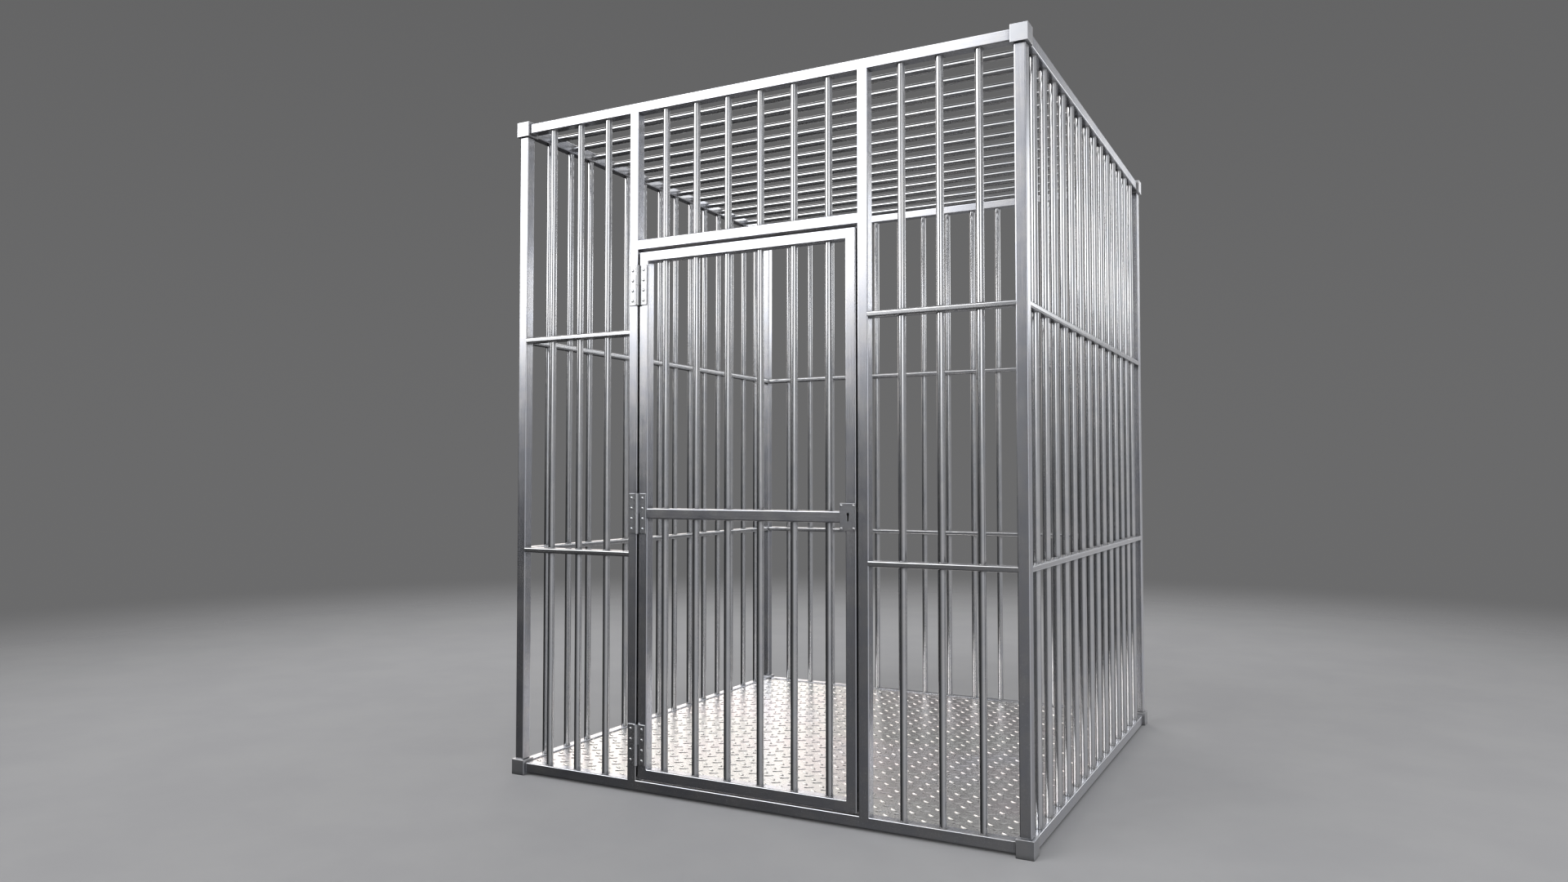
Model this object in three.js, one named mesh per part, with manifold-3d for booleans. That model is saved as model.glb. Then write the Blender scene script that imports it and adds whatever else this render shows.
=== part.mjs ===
// Walk-in kennel cage: a square-tube steel frame on eight corner fittings,
// round-bar walls and roof, a tread-plate floor and a hinged, key-locked door.
// Millimetres, +Z up. The origin is on the ground, at the centre of the overall
// footprint, which includes the hinge knuckles that stand proud of the front.
// The front, with the door, faces -Y and left is -X. The door opens towards -Y.
import * as THREE from 'three';
import { mergeVertices } from 'three/addons/utils/BufferGeometryUtils.js';
import Module from 'manifold-3d';

// ---------------------------------------------------------------- dimensions
const WIDTH = 2000;            // over the corner fittings, X
const DEPTH = 2000;            // over the corner fittings, Y
const HEIGHT = 2500;           // over the corner fittings, Z
const BLOCK = 57;              // corner fitting, cube side
const BLOCK_CHAMFER = 1.5;
const TUBE = 38;               // square tube, outside
const TUBE_WALL = 2.5;
const TUBE_RADIUS = 3;         // outside corner radius
const GAP = 0.3;               // weld gap left between neighbouring pieces
const SPIGOT = 32.4;           // corner fitting spigot, square side
const SPIGOT_LENGTH = 40;
const SPIGOT_BORE = 24;        // spigots are cored out from their free ends
const SPIGOT_ROOT = 1;         // solid length between the cube and the bore

const BAR_DIAMETER = 25;
const BAR_WALL = 2;
const BAR_SIDES = 8;
const BAR_PITCH = 129;         // same pitch on every side and on the roof
const BAR_COUNT = 14;          // bar stations across one full side
const MID_RAIL_HEIGHT = 20;    // thin horizontal rails of the walls
const MID_RAIL_DEPTH = 38;
const MID_RAIL_RADIUS = 5;

// the door posts stand in for two bars; stations count from 0
const HINGE_POST_STATION = 3;
const LOCK_POST_STATION = BAR_COUNT - 1 - HINGE_POST_STATION;
const HEADER_Z0 = 1947.7;      // underside of the rail over the door
const TRANSOM_SINK = 1;        // transom bars start this far inside the header
const TRANSOM_BORE_RISE = 0.5; // and their bores this far above it
const DOOR_GAP_HINGE = 7;
const DOOR_GAP_LOCK = 5;
const DOOR_GAP_TOP = 7.7;
const DOOR_GAP_BOTTOM = 5;

const FLOOR_THICKNESS = 5;
const FLOOR_DROP = 5;          // top of the plate below the top of the bottom rails
const FLOOR_CLEARANCE = 1;

// how far cutting tools run past the material
const OVERCUT = 3;             // past an outer face
const INNER_OVERCUT = 1;       // past the inner face of a wall
const BORE_OVERCUT = 5;        // past the open ends of bores and cavities

// --------------------------------------------------------- derived positions
const TUBE_INSET = (BLOCK - TUBE) / 2;         // tube faces inside the fittings' faces
const HALF_WIDTH = WIDTH / 2;
const HALF_DEPTH = DEPTH / 2;
const LEFT_X = -HALF_WIDTH + BLOCK / 2;        // tube centre lines
const RIGHT_X = HALF_WIDTH - BLOCK / 2;
const FRONT_Y = -HALF_DEPTH + BLOCK / 2;
const BACK_Y = HALF_DEPTH - BLOCK / 2;
const BOTTOM_Z = BLOCK / 2;
const TOP_Z = HEIGHT - BLOCK / 2;
const INNER_X = HALF_WIDTH - TUBE_INSET - TUBE;  // inner faces of the frame tubes
const INNER_Y = HALF_DEPTH - TUBE_INSET - TUBE;
const FACE_Y = -HALF_DEPTH + TUBE_INSET;       // front faces of the front tubes
const RAIL_TOP = TUBE_INSET + TUBE;            // top of the bottom rails
const ROOF_UNDER = HEIGHT - TUBE_INSET - TUBE; // underside of the top rails
const CLEAR_HEIGHT = ROOF_UNDER - RAIL_TOP;
const MID_RAIL_Z = [RAIL_TOP + CLEAR_HEIGHT / 3, RAIL_TOP + 2 * CLEAR_HEIGHT / 3];

const STATIONS = Array.from({ length: BAR_COUNT }, (_, i) => (i - (BAR_COUNT - 1) / 2) * BAR_PITCH);
const LEFT_BAY = STATIONS.slice(0, HINGE_POST_STATION);
const DOOR_BAY = STATIONS.slice(HINGE_POST_STATION + 1, LOCK_POST_STATION);
const RIGHT_BAY = STATIONS.slice(LOCK_POST_STATION + 1);
const HINGE_POST_X = STATIONS[HINGE_POST_STATION];
const LOCK_POST_X = STATIONS[LOCK_POST_STATION];
const OPENING_X0 = HINGE_POST_X + TUBE / 2;
const OPENING_X1 = LOCK_POST_X - TUBE / 2;
const DOOR_X0 = OPENING_X0 + DOOR_GAP_HINGE;
const DOOR_X1 = OPENING_X1 - DOOR_GAP_LOCK;
const DOOR_Z0 = RAIL_TOP + DOOR_GAP_BOTTOM;
const DOOR_Z1 = HEADER_Z0 - DOOR_GAP_TOP;
const DOOR_XC = (DOOR_X0 + DOOR_X1) / 2;
const DOOR_ZC = (DOOR_Z0 + DOOR_Z1) / 2;
const LOCK_STILE_X = DOOR_X1 - TUBE / 2;
const FITTED_Y = FACE_Y - GAP;                 // back faces of hinge leaves and lock plate

// ------------------------------------------------------------------ booleans
const wasm = await Module();
wasm.setup();

const solid = geometry => {
  const bare = geometry.clone();
  bare.deleteAttribute('normal');
  bare.deleteAttribute('uv');
  const merged = mergeVertices(bare, 1e-4);
  return new wasm.Manifold(new wasm.Mesh({
    numProp: 3,
    vertProperties: new Float32Array(merged.attributes.position.array),
    triVerts: new Uint32Array(merged.index.array),
  }));
};
const fuse = (body, geometry) => body.add(solid(geometry));
const cut = (body, geometry) => body.subtract(solid(geometry));
const geometryOf = manifold => {
  const mesh = manifold.getMesh();
  const geometry = new THREE.BufferGeometry();
  const positions = new Float32Array(mesh.vertProperties);
  geometry.setAttribute('position', new THREE.BufferAttribute(positions, 3));
  geometry.setIndex(new THREE.BufferAttribute(new Uint32Array(mesh.triVerts), 1));
  return geometry;
};

// ------------------------------------------------------------------ outlines
const polygon = points =>
  new THREE.Shape().setFromPoints(points.map(([x, y]) => new THREE.Vector2(x, y)));
const withHole = (shape, hole) => {
  shape.holes.push(hole);
  return shape;
};
const square = side => {
  const half = side / 2;
  return polygon([[-half, -half], [half, -half], [half, half], [-half, half]]);
};
// rectangle whose corners are rounded with two facets each
const roundRect = (width, height, radius) => {
  const points = [];
  for (const [signX, signY, start] of [[1, 1, 0], [-1, 1, 90], [-1, -1, 180], [1, -1, 270]]) {
    for (const step of [0, 1, 2]) {
      const angle = (start + 45 * step) * Math.PI / 180;
      points.push([
        signX * (width / 2 - radius) + radius * Math.cos(angle),
        signY * (height / 2 - radius) + radius * Math.sin(angle),
      ]);
    }
  }
  return polygon(points);
};
// regular polygon with the area of the circle it stands for, a flat side facing +X
const circle = (radius, sides) => {
  const corner = radius * Math.sqrt(2 * Math.PI / (sides * Math.sin(2 * Math.PI / sides)));
  return polygon(Array.from({ length: sides }, (_, i) => {
    const angle = 2 * Math.PI * (i + 0.5) / sides;
    return [corner * Math.cos(angle), corner * Math.sin(angle)];
  }));
};
const tubeOutline = () =>
  withHole(roundRect(TUBE, TUBE, TUBE_RADIUS), square(TUBE - 2 * TUBE_WALL));
const barOutline = () => circle(BAR_DIAMETER / 2, BAR_SIDES);
const barBoreOutline = () => circle(BAR_DIAMETER / 2 - BAR_WALL, BAR_SIDES);

// -------------------------------------------------------------- basic solids
const vector = (x, y, z) => new THREE.Vector3(x, y, z);
const turned = (geometry, outlineX, outlineY, length) =>
  geometry.applyMatrix4(new THREE.Matrix4().makeBasis(outlineX, outlineY, length));
const prism = (shape, length) =>
  new THREE.ExtrudeGeometry(shape, { depth: length, bevelEnabled: false, steps: 1 });

// turn a prism from +Z to an axis; its outline's x, y become Y, Z along x, and Z, X along y
const along = (geometry, axis) => {
  if (axis === 'x') turned(geometry, vector(0, 1, 0), vector(0, 0, 1), vector(1, 0, 0));
  if (axis === 'y') turned(geometry, vector(0, 0, 1), vector(1, 0, 0), vector(0, 1, 0));
  return geometry;
};
// prism along an axis; p and q are its two other coordinates, in X, Y, Z order
const run = (shape, axis, from, to, p, q) => {
  const place = { x: [from, p, q], y: [p, from, q], z: [p, q, from] }[axis];
  return along(prism(shape, to - from), axis).translate(...place);
};
// prism of an outline drawn in X and Z, reaching forwards from backY
const frontPrism = (shape, length, x, backY, z) =>
  turned(prism(shape, length), vector(1, 0, 0), vector(0, 0, 1), vector(0, -1, 0))
    .translate(x, backY, z);
const around = (centre, size) => [centre - size / 2, centre + size / 2];
const box = ([x0, x1], [y0, y1], [z0, z1]) =>
  new THREE.BoxGeometry(x1 - x0, y1 - y0, z1 - z0)
    .translate((x0 + x1) / 2, (y0 + y1) / 2, (z0 + z1) / 2);

// square tube fitted between two faces, with a weld gap at each end
const squareTube = (axis, from, to, p, q) =>
  run(tubeOutline(), axis, from + GAP, to - GAP, p, q);

// Upright hollow bars through a body, at [x, y] points. All are added before any
// bore is cut, so the bores also pass through the rails.
const addBars = (body, points, [z0, z1], [boreZ0, boreZ1]) => {
  for (const [x, y] of points) body = fuse(body, run(barOutline(), 'z', z0, z1, x, y));
  for (const [x, y] of points) body = cut(body, run(barBoreOutline(), 'z', boreZ0, boreZ1, x, y));
  return body;
};

// ------------------------------------------------------------------- group
const cage = new THREE.Group();
cage.name = 'kennel_cage';
const FINISHES = {
  frame: { color: 0xb9bcc0, roughness: 0.34 },
  bar: { color: 0xc2c4c8, roughness: 0.26 },
  floor: { color: 0xd2cfcb, roughness: 0.3 },
  hinge: { color: 0xb2b5ba, roughness: 0.36 },
  lock: { color: 0xaeb0b6, roughness: 0.3 },
};
const add = (name, geometry, finish) => {
  geometry.computeVertexNormals();
  const material = new THREE.MeshStandardMaterial({
    ...FINISHES[finish], metalness: 1, flatShading: true,
  });
  const mesh = new THREE.Mesh(geometry, material);
  mesh.name = name;
  cage.add(mesh);
};

// --------------------------------------------------------- corner fittings
const chamferedCube = () => {
  const side = BLOCK / 2 - BLOCK_CHAMFER;      // the bevel adds the chamfer back
  const edge = side - BLOCK_CHAMFER * 0.6;     // where the upright edges' chamfers start
  const outline = polygon([
    [side, edge], [edge, side], [-edge, side], [-side, edge],
    [-side, -edge], [-edge, -side], [edge, -side], [side, -edge],
  ]);
  return new THREE.ExtrudeGeometry(outline, {
    depth: BLOCK - 2 * BLOCK_CHAMFER,
    bevelEnabled: true,
    bevelThickness: BLOCK_CHAMFER,
    bevelSize: BLOCK_CHAMFER,
    bevelSegments: 1,
    steps: 1,
  }).translate(0, 0, -BLOCK / 2 + BLOCK_CHAMFER);
};
// cube with three cored spigots that enter the ends of the tubes;
// the signs tell which corner of the cage it is
const cornerFitting = (signX, signY, signZ) => {
  const directions = [['x', -signX], ['y', -signY], ['z', -signZ]];
  const arm = (side, axis, sign, start, length) => {
    const from = sign > 0 ? start : -start - length;
    return run(square(side), axis, from, from + length, 0, 0);
  };
  let body = solid(chamferedCube());
  for (const [axis, sign] of directions)
    body = fuse(body, arm(SPIGOT, axis, sign, 0, BLOCK / 2 + SPIGOT_LENGTH));
  for (const [axis, sign] of directions)
    body = cut(body, arm(SPIGOT_BORE, axis, sign, BLOCK / 2 + SPIGOT_ROOT, SPIGOT_LENGTH));
  return geometryOf(body).translate(
    signX * (HALF_WIDTH - BLOCK / 2),
    signY * (HALF_DEPTH - BLOCK / 2),
    HEIGHT / 2 + signZ * (HEIGHT / 2 - BLOCK / 2),
  );
};
for (const [level, signZ] of [['bottom', -1], ['top', 1]])
  for (const [face, signY] of [['front', -1], ['back', 1]])
    for (const [side, signX] of [['left', -1], ['right', 1]])
      add(`corner_fitting_${level}_${face}_${side}`, cornerFitting(signX, signY, signZ), 'frame');

// ------------------------------------------------------------- frame tubes
const FACES = [['front', FRONT_Y], ['back', BACK_Y]];
const SIDES = [['left', LEFT_X], ['right', RIGHT_X]];
for (const [face, y] of FACES)
  for (const [side, x] of SIDES)
    add(`corner_post_${face}_${side}`, squareTube('z', BLOCK, HEIGHT - BLOCK, x, y), 'frame');
for (const [level, z] of [['bottom', BOTTOM_Z], ['top', TOP_Z]]) {
  const endX = HALF_WIDTH - BLOCK;
  const endY = HALF_DEPTH - BLOCK;
  for (const [face, y] of FACES)
    add(`${level}_rail_${face}`, squareTube('x', -endX, endX, y, z), 'frame');
  for (const [side, x] of SIDES)
    add(`${level}_rail_${side}`, squareTube('y', -endY, endY, x, z), 'frame');
}

// --------------------------------------------------------- lock dimensions
const LOCK_Z = DOOR_ZC + 1;    // centre of the face plate and the case
const PLATE_WIDTH = 57;
const PLATE_HEIGHT = 89;
const PLATE_THICKNESS = 2;
const PLATE_REACH = 9;         // plate centre from the stile's inner side face
const PLATE_X = LOCK_STILE_X - TUBE / 2 + PLATE_REACH;
const PLATE_RIVET_INSET_X = 6.6;
const PLATE_RIVET_INSET_Z = 7.5;
const KEY_RADIUS = 5;
const KEY_SLOT_WIDTH = 5;
const KEY_SLOT_DROP = 21;      // from the round hole's centre to the slot's end
const KEY_ARC_STEPS = 10;
const KEY_Z = DOOR_ZC + 9;
const KEY_CLEARANCE_STILE = 1;
const KEY_CLEARANCE_CASE = 0.5;
const CASE_DEPTH = 20;
const CASE_HEIGHT = 80;
const CASE_WALL = 1.5;
const CASE_CLEARANCE = 0.4;    // to the inside of the stile
const BOLT_DEPTH = 10;         // along Y
const BOLT_HEIGHT = 14;        // along Z
const BOLT_Y = FACE_Y + 14.5;
const BOLT_Z = DOOR_ZC + 25;
const BOLT_CLEARANCE = 0.3;
const STRIKE_CLEARANCE_Y = 1;
const STRIKE_CLEARANCE_Z = 1.5;
const BOLT_NOSE_INSET = 0.3;   // drawn back behind the stile's edge
const BOLT_NOSE_CHAMFER = 1.5;
const BOLT_TAIL_CLEARANCE = 2.5;
const BOLT_NOTCH_DEPTH = 5;    // notch in the tail end
const BOLT_NOTCH_EDGE = 4;     // bolt left above and below the notch

// cutter for the keyhole, a round hole with a straight slot under it
const keyCutter = (clearance, y0, y1) => {
  const radius = KEY_RADIUS + clearance;
  const halfSlot = KEY_SLOT_WIDTH / 2 + clearance;
  const slotEnd = -KEY_SLOT_DROP - clearance;
  const points = [[-halfSlot, slotEnd], [halfSlot, slotEnd]];
  const startAngle = Math.acos(halfSlot / radius);
  for (let i = 0; i <= KEY_ARC_STEPS; i++) {
    const angle = -startAngle + (Math.PI + 2 * startAngle) * i / KEY_ARC_STEPS;
    points.push([radius * Math.cos(angle), radius * Math.sin(angle)]);
  }
  return frontPrism(polygon(points), y1 - y0, PLATE_X, y1, KEY_Z);
};
const boltCutter = (x0, x1, clearanceY = BOLT_CLEARANCE, clearanceZ = BOLT_CLEARANCE) => box(
  [x0, x1],
  around(BOLT_Y, BOLT_DEPTH + 2 * clearanceY),
  around(BOLT_Z, BOLT_HEIGHT + 2 * clearanceZ),
);

// ---------------------------------------------------- door posts and header
const doorPost = x => squareTube('z', RAIL_TOP, ROOF_UNDER, x, FRONT_Y);
// the lock side post has the hole that the bolt shoots into
const lockPost = () => geometryOf(cut(solid(doorPost(LOCK_POST_X)), boltCutter(
  OPENING_X1 - OVERCUT, OPENING_X1 + TUBE_WALL + OVERCUT, STRIKE_CLEARANCE_Y, STRIKE_CLEARANCE_Z)));
// rail over the door with the short bars that stand on it
const header = () => {
  const top = HEADER_Z0 + TUBE;
  const rail = solid(squareTube('x', OPENING_X0, OPENING_X1, FRONT_Y, HEADER_Z0 + TUBE / 2));
  return geometryOf(addBars(rail, DOOR_BAY.map(x => [x, FRONT_Y]),
    [top - TRANSOM_SINK, ROOF_UNDER - GAP],
    [top + TRANSOM_BORE_RISE, ROOF_UNDER + BORE_OVERCUT]));
};
add('door_post_hinge_side', doorPost(HINGE_POST_X), 'frame');
add('door_post_lock_side', lockPost(), 'frame');
add('door_header_with_transom_bars', header(), 'frame');

// ------------------------------------------------------------- bar grilles
// Upright bars passing through two thin rails, as one welded panel. The panel
// runs from one face to another along an axis, at a fixed place across it.
const grille = (axis, from, to, across, stations) => {
  // the rail's long side lies across the wall, its short side is upright
  const [outlineX, outlineY] = axis === 'x'
    ? [MID_RAIL_DEPTH, MID_RAIL_HEIGHT] : [MID_RAIL_HEIGHT, MID_RAIL_DEPTH];
  const outline = roundRect(outlineX, outlineY, MID_RAIL_RADIUS);
  const rails = MID_RAIL_Z
    .map(z => solid(run(outline, axis, from + GAP, to - GAP, across, z)))
    .reduce((lower, upper) => lower.add(upper));
  const points = stations.map(place => (axis === 'x' ? [place, across] : [across, place]));
  return geometryOf(addBars(rails, points,
    [RAIL_TOP + GAP, ROOF_UNDER - GAP],
    [RAIL_TOP - BORE_OVERCUT, ROOF_UNDER + BORE_OVERCUT]));
};
add('grille_front_left',
  grille('x', -INNER_X, HINGE_POST_X - TUBE / 2, FRONT_Y, LEFT_BAY), 'bar');
add('grille_front_right',
  grille('x', LOCK_POST_X + TUBE / 2, INNER_X, FRONT_Y, RIGHT_BAY), 'bar');
for (const [side, x] of SIDES)
  add(`grille_${side}_side`, grille('y', -INNER_Y, INNER_Y, x, STATIONS), 'bar');
add('grille_back', grille('x', -INNER_X, INNER_X, BACK_Y, STATIONS), 'bar');

// --------------------------------------------------------------- roof bars
STATIONS.forEach((y, i) => {
  const outline = withHole(barOutline(), barBoreOutline());
  const bar = run(outline, 'x', -INNER_X + GAP, INNER_X - GAP, y, TOP_Z);
  add(`roof_bar_${String(i + 1).padStart(2, '0')}`, bar, 'bar');
});

// ------------------------------------------------------------------- floor
// plate with its corners notched around the corner fittings
const floorPlate = () => {
  const x = INNER_X - FLOOR_CLEARANCE;
  const y = INNER_Y - FLOOR_CLEARANCE;
  const notch = BLOCK - TUBE_INSET - TUBE + FLOOR_CLEARANCE;
  const notchX = x - notch;
  const notchY = y - notch;
  const outline = polygon([
    [x, notchY], [notchX, notchY], [notchX, y],
    [-notchX, y], [-notchX, notchY], [-x, notchY],
    [-x, -notchY], [-notchX, -notchY], [-notchX, -y],
    [notchX, -y], [notchX, -notchY], [x, -notchY],
  ]);
  return prism(outline, FLOOR_THICKNESS)
    .translate(0, 0, RAIL_TOP - FLOOR_DROP - FLOOR_THICKNESS);
};
add('floor_tread_plate', floorPlate(), 'floor');

// -------------------------------------------------------------------- door
// Member of the door frame, centred on x, z, with both ends mitred at 45 degrees.
// longSide is the sign, in X for a stile and in Z for a rail, of its long edge.
const mitredTube = (axis, length, longSide, x, z) => {
  const geometry = prism(tubeOutline(), length);
  const position = geometry.attributes.position;
  const acrossIndex = axis === 'z' ? 0 : 1;
  for (let i = 0; i < position.count; i++) {
    const across = position.getComponent(i, acrossIndex);
    const setback = TUBE / 2 - longSide * across + GAP / 2 * Math.SQRT2;
    const atFarEnd = position.getZ(i) > length / 2;
    position.setZ(i, atFarEnd ? length / 2 - setback : -length / 2 + setback);
  }
  return along(geometry, axis).translate(x, FRONT_Y, z);
};
const doorStile = (longSide, x) => mitredTube('z', DOOR_Z1 - DOOR_Z0, longSide, x, DOOR_ZC);
const doorRail = (longSide, z) => mitredTube('x', DOOR_X1 - DOOR_X0, longSide, DOOR_XC, z);
// the lock side stile has the keyhole in its front and the bolt hole in its edge
const lockStile = () => {
  let body = solid(doorStile(1, LOCK_STILE_X));
  body = cut(body, keyCutter(KEY_CLEARANCE_STILE,
    FACE_Y - OVERCUT, FACE_Y + TUBE_WALL + INNER_OVERCUT));
  body = cut(body, boltCutter(DOOR_X1 - TUBE_WALL - INNER_OVERCUT, DOOR_X1 + OVERCUT));
  return geometryOf(body);
};
// middle rail of the door with the bars that pass through it
const doorGrille = () => {
  const z0 = DOOR_Z0 + TUBE + GAP;
  const z1 = DOOR_Z1 - TUBE - GAP;
  const rail = solid(squareTube('x', DOOR_X0 + TUBE, DOOR_X1 - TUBE, FRONT_Y, DOOR_ZC));
  return geometryOf(addBars(rail, DOOR_BAY.map(x => [x, FRONT_Y]),
    [z0, z1], [z0 - BORE_OVERCUT, z1 + BORE_OVERCUT]));
};
add('door_stile_hinge_side', doorStile(-1, DOOR_X0 + TUBE / 2), 'frame');
add('door_stile_lock_side', lockStile(), 'frame');
add('door_rail_top', doorRail(1, DOOR_Z1 - TUBE / 2), 'frame');
add('door_rail_bottom', doorRail(-1, DOOR_Z0 + TUBE / 2), 'frame');
add('door_grille_with_middle_rail', doorGrille(), 'bar');

// ------------------------------------------------------------------ rivets
const RIVET_RADIUS = 4.4;
const RIVET_TIP_RADIUS = RIVET_RADIUS * 0.62;
const RIVET_HEIGHT = 2.2;
const RIVET_SINK = 0.2;        // into the face it stands on
// head standing on a face at y, narrowing towards the front
const rivetHead = (x, y, z) =>
  new THREE.CylinderGeometry(RIVET_TIP_RADIUS, RIVET_RADIUS, RIVET_HEIGHT, 8)
    .rotateX(Math.PI)
    .translate(x, y - RIVET_HEIGHT / 2 + RIVET_SINK, z);

// ------------------------------------------------------------------ hinges
// Lift-off butt hinges: the frame leaf carries the lower knuckle,
// the door leaf carries the upper knuckle.
const HINGE_HEIGHT = 145;
const HINGE_X = (OPENING_X0 + DOOR_X0) / 2;    // pin axis
const HINGE_Y = FACE_Y - 7;
const HINGE_SPREAD = 822.5;    // upper and lower hinge from the middle one
const KNUCKLE_RADIUS = 8.5;
const KNUCKLE_BORE_RADIUS = 4.25;
const KNUCKLE_HALF_GAP = 0.25; // from mid height to each knuckle
const LEAF_THICKNESS = 3;
const LEAF_OUTER = 37.5;       // distances from the pin axis
const LEAF_INNER = KNUCKLE_RADIUS + 0.7;
const WEB_INNER = 4.6;
const WEB_LAP = 1;             // web overlapping the leaf plate
const HINGE_RIVETS = 4;
const HINGE_RIVET_PITCH = 36.7;
const HINGE_RIVET_X = 23.75;
const PIN_RADIUS = 4 - 0.15;   // nominal radius less clearance
const PIN_TIP_RADIUS = 4 - 1.6;
const PIN_TIP_LENGTH = 3;
const PIN_INSET = 2;           // pin ends inside the hinge's ends

// side is -1 for the frame leaf and 1 for the door leaf
const hingeLeaf = (side, zc) => {
  const [z0, z1] = around(zc, HINGE_HEIGHT);
  const [knuckleZ0, knuckleZ1] = side > 0 ? [zc + KNUCKLE_HALF_GAP, z1] : [z0, zc - KNUCKLE_HALF_GAP];
  const y = [FITTED_Y - LEAF_THICKNESS, FITTED_Y];
  const spanX = (inner, outer) =>
    (side > 0 ? [HINGE_X + inner, HINGE_X + outer] : [HINGE_X - outer, HINGE_X - inner]);
  let body = solid(box(spanX(LEAF_INNER, LEAF_OUTER), y, [z0, z1]));
  // web from the leaf in to its own knuckle
  body = fuse(body, box(spanX(WEB_INNER, LEAF_INNER + WEB_LAP), y, [knuckleZ0, knuckleZ1]));
  body = fuse(body, run(circle(KNUCKLE_RADIUS, 16), 'z', knuckleZ0, knuckleZ1, HINGE_X, HINGE_Y));
  body = cut(body, run(circle(KNUCKLE_BORE_RADIUS, 12), 'z',
    knuckleZ0 - BORE_OVERCUT, knuckleZ1 + BORE_OVERCUT, HINGE_X, HINGE_Y));
  for (let i = 0; i < HINGE_RIVETS; i++) {
    const z = zc + (i - (HINGE_RIVETS - 1) / 2) * HINGE_RIVET_PITCH;
    body = fuse(body, rivetHead(HINGE_X + side * HINGE_RIVET_X, y[0], z));
  }
  return geometryOf(body);
};
// pin with a tapered upper end
const hingePin = zc => {
  const half = HINGE_HEIGHT / 2 - PIN_INSET;
  const profile = [                            // radius, height
    [0, -half], [PIN_RADIUS, -half], [PIN_RADIUS, half - PIN_TIP_LENGTH],
    [PIN_TIP_RADIUS, half], [0, half],
  ].map(([radius, height]) => new THREE.Vector2(radius, height));
  return new THREE.LatheGeometry(profile, 12)
    .rotateX(Math.PI / 2)
    .translate(HINGE_X, HINGE_Y, zc);
};
for (const [name, level] of [['lower', -1], ['middle', 0], ['upper', 1]]) {
  const zc = DOOR_ZC + level * HINGE_SPREAD;
  add(`hinge_${name}_frame_leaf`, hingeLeaf(-1, zc), 'hinge');
  add(`hinge_${name}_door_leaf`, hingeLeaf(1, zc), 'hinge');
  add(`hinge_${name}_pin`, hingePin(zc), 'hinge');
}

// -------------------------------------------------------------------- lock
const lockPlate = () => {
  const y1 = FITTED_Y;
  const y0 = y1 - PLATE_THICKNESS;
  let body = solid(box(around(PLATE_X, PLATE_WIDTH), [y0, y1], around(LOCK_Z, PLATE_HEIGHT)));
  body = cut(body, keyCutter(0, y0 - OVERCUT, y1 + OVERCUT));
  for (const x of around(PLATE_X, PLATE_WIDTH - 2 * PLATE_RIVET_INSET_X))
    for (const z of around(LOCK_Z, PLATE_HEIGHT - 2 * PLATE_RIVET_INSET_Z))
      body = fuse(body, rivetHead(x, y0, z));
  return geometryOf(body);
};

const CASE_INSET = TUBE_WALL + CASE_CLEARANCE; // inside the stile's outer faces
const CASE_X0 = LOCK_STILE_X - TUBE / 2 + CASE_INSET;
const CASE_X1 = LOCK_STILE_X + TUBE / 2 - CASE_INSET;
// tray-shaped case inside the lock stile, open at the back
const lockCase = () => {
  const y0 = FACE_Y + CASE_INSET;
  const y1 = y0 + CASE_DEPTH;
  let body = solid(box([CASE_X0, CASE_X1], [y0, y1], around(LOCK_Z, CASE_HEIGHT)));
  body = cut(body, box(
    [CASE_X0 + CASE_WALL, CASE_X1 - CASE_WALL],
    [y0 + CASE_WALL, y1 + BORE_OVERCUT],
    around(LOCK_Z, CASE_HEIGHT - 2 * CASE_WALL),
  ));
  body = cut(body, keyCutter(KEY_CLEARANCE_CASE, y0 - OVERCUT, y0 + CASE_WALL + INNER_OVERCUT));
  body = cut(body, boltCutter(CASE_X1 - CASE_WALL - INNER_OVERCUT, CASE_X1 + OVERCUT));
  return geometryOf(body);
};
// bolt, drawn back, with a chamfered nose and a notched tail
const lockBolt = () => {
  const nose = DOOR_X1 - BOLT_NOSE_INSET;
  const noseStart = nose - BOLT_NOSE_CHAMFER;
  const tail = CASE_X0 + CASE_WALL + BOLT_TAIL_CLEARANCE;
  const notchX = tail + BOLT_NOTCH_DEPTH;
  const half = BOLT_HEIGHT / 2;
  const noseHalf = half - BOLT_NOSE_CHAMFER;
  const notchHalf = half - BOLT_NOTCH_EDGE;
  const outline = polygon([
    [tail, -half], [noseStart, -half], [nose, -noseHalf],
    [nose, noseHalf], [noseStart, half], [tail, half],
    [tail, notchHalf], [notchX, notchHalf], [notchX, -notchHalf], [tail, -notchHalf],
  ]);
  return frontPrism(outline, BOLT_DEPTH, 0, BOLT_Y + BOLT_DEPTH / 2, BOLT_Z);
};
add('lock_face_plate', lockPlate(), 'lock');
add('lock_case', lockCase(), 'lock');
add('lock_bolt', lockBolt(), 'lock');

// ------------------------------------------------------------------ origin
// Everything above is laid out about the centre of the square frame; this moves
// it back by half of what the hinges add in front.
const overall = new THREE.Box3().setFromObject(cage);
const shiftY = -(overall.min.y + overall.max.y) / 2;
for (const mesh of cage.children) mesh.geometry.translate(0, shiftY, 0);

export default cage;
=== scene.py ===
"""Walk-in kennel cage in steel: tube frame, barred walls and roof, tread plate floor, hinged door.

The frame lies in metres, +Z up, with the door side towards -Y and the hinges towards -X. Places come
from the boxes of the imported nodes. Meshes are worked out in millimetres and scaled when they are made.
"""

import math

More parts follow.
